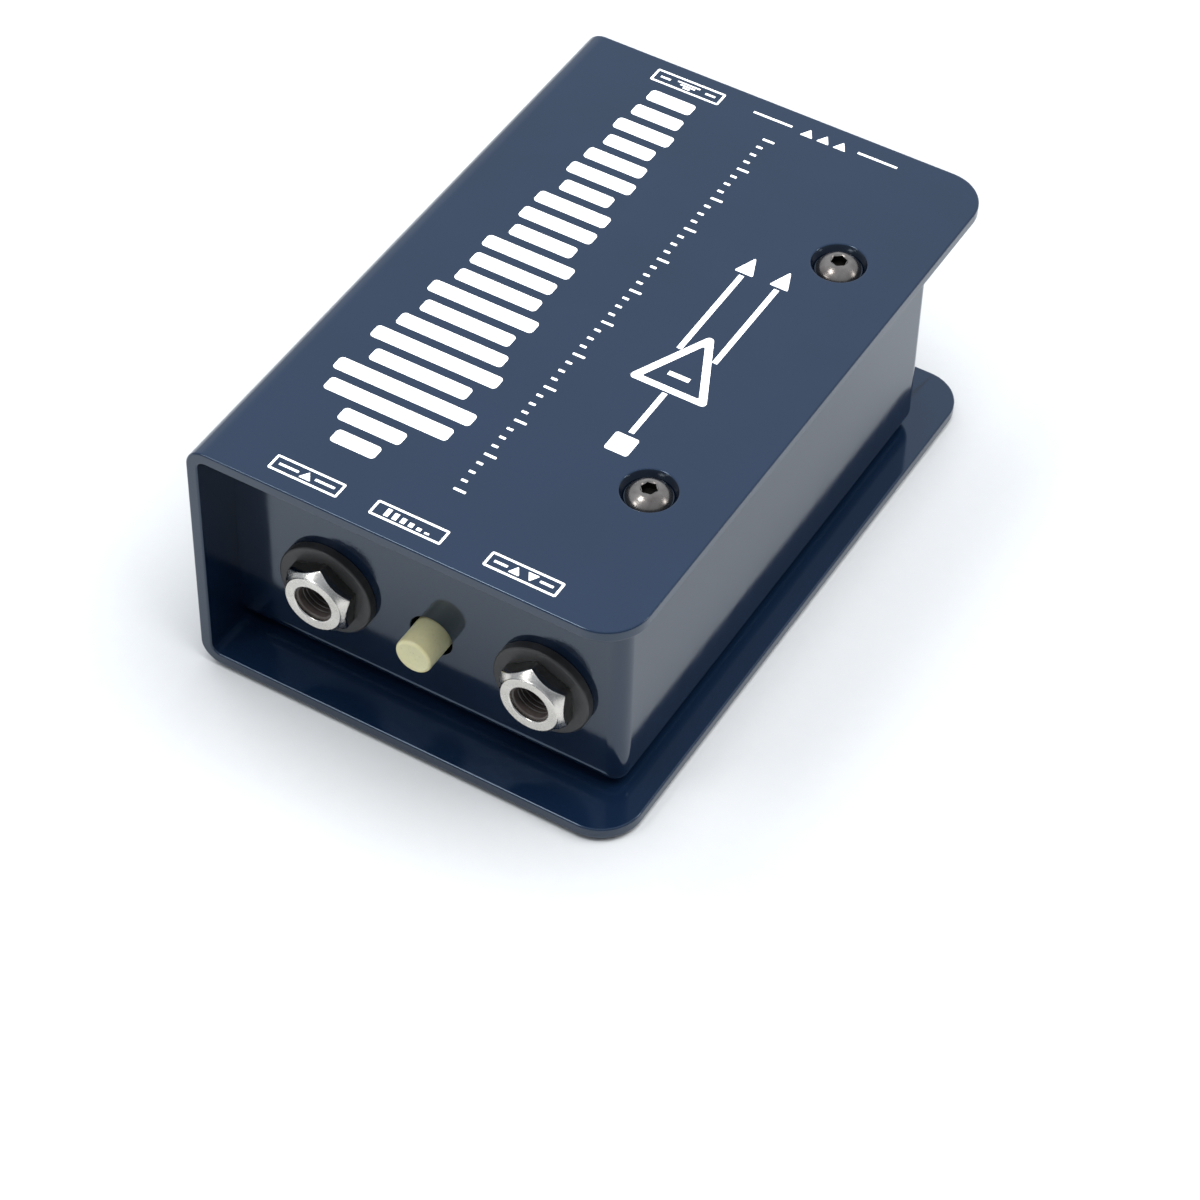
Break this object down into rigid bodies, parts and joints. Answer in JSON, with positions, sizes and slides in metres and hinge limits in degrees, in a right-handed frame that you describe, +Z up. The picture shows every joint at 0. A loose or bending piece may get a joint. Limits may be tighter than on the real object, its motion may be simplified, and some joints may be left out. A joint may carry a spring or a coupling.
{
  "type": "direct injection box",
  "caption": "Folded sheet-steel audio box with recessed panels: jacks and a push switch in front, a pin connector and a push switch behind.",
  "frame": {"origin": "under the middle of the non-slip pad, on the surface the box stands on", "axes": "+Z up, -Y out of the jack panel, +X from the closed spine to the open side"},
  "size_m": [0.083, 0.127, 0.0519],
  "materials": {
    "navy_enamel": "gloss baked enamel, dark navy",
    "screw_steel": "plain steel",
    "zinc_steel": "zinc plated",
    "pad_rubber": "matt non-slip rubber",
    "black_plastic": "moulded, satin",
    "nickel": "bright nickel plate",
    "contact_metal": "tinned brass",
    "ivory_plastic": "moulded, semi-gloss ivory",
    "grey_plastic": "moulded",
    "spring_steel": "drawn wire",
    "switch_plastic": "moulded",
    "black_metal": "black chromate, satin",
    "board": "green solder mask on glass-epoxy",
    "capacitor_sleeve": "printed sleeve, left plain",
    "film_capacitor": "dipped",
    "chip_plastic": "moulded",
    "resistor_lacquer": "lacquered",
    "ferrite": "sintered",
    "white_ink": "screen-printed marks on the top plate"
  },
  "bodies": {
    "case": {"outer_shell": "navy_enamel", "inner_chassis": "navy_enamel", "top_cover_screws": "screw_steel", "bottom_cover_screws": "screw_steel", "clinch_nuts": "zinc_steel", "bottom_pad": "pad_rubber", "input_jack_body": "black_plastic", "input_jack_bushing": "black_plastic", "input_jack_washer": "black_plastic", "input_jack_nut": "nickel", "input_tip_contact": "contact_metal", "thru_jack_body": "black_plastic", "thru_jack_bushing": "black_plastic", "thru_jack_washer": "black_plastic", "thru_jack_nut": "nickel", "thru_tip_contact": "contact_metal", "pad_switch_spring": "spring_steel", "pad_switch_body": "switch_plastic", "lift_switch_spring": "spring_steel", "lift_switch_body": "switch_plastic", "xlr_shell": "black_metal", "xlr_insert": "black_plastic", "xlr_pins": "contact_metal", "xlr_terminals": "contact_metal", "xlr_screws": "black_metal", "circuit_board": "board", "electrolytic_capacitors": "capacitor_sleeve", "film_capacitors": "film_capacitor", "amplifier_chips": "chip_plastic", "resistors": "resistor_lacquer", "power_inductor": "ferrite"},
    "pad_push": {"pad_button": "ivory_plastic", "pad_switch_plunger": "grey_plastic"},
    "lift_push": {"lift_button": "ivory_plastic", "lift_switch_plunger": "grey_plastic"}
  },
  "joints": [
    {"name": "pad_press", "type": "slide", "parent": "case", "child": "pad_push", "axis": [0, 1, 0], "range_m": [0, 0.0026], "stiffness_N_per_m": 400, "springref_m": -0.003, "deforming": ["pad_switch_spring"]},
    {"name": "lift_press", "type": "slide", "parent": "case", "child": "lift_push", "axis": [0, -1, 0], "range_m": [0, 0.0026], "stiffness_N_per_m": 400, "springref_m": -0.003, "deforming": ["lift_switch_spring"]}
  ]
}
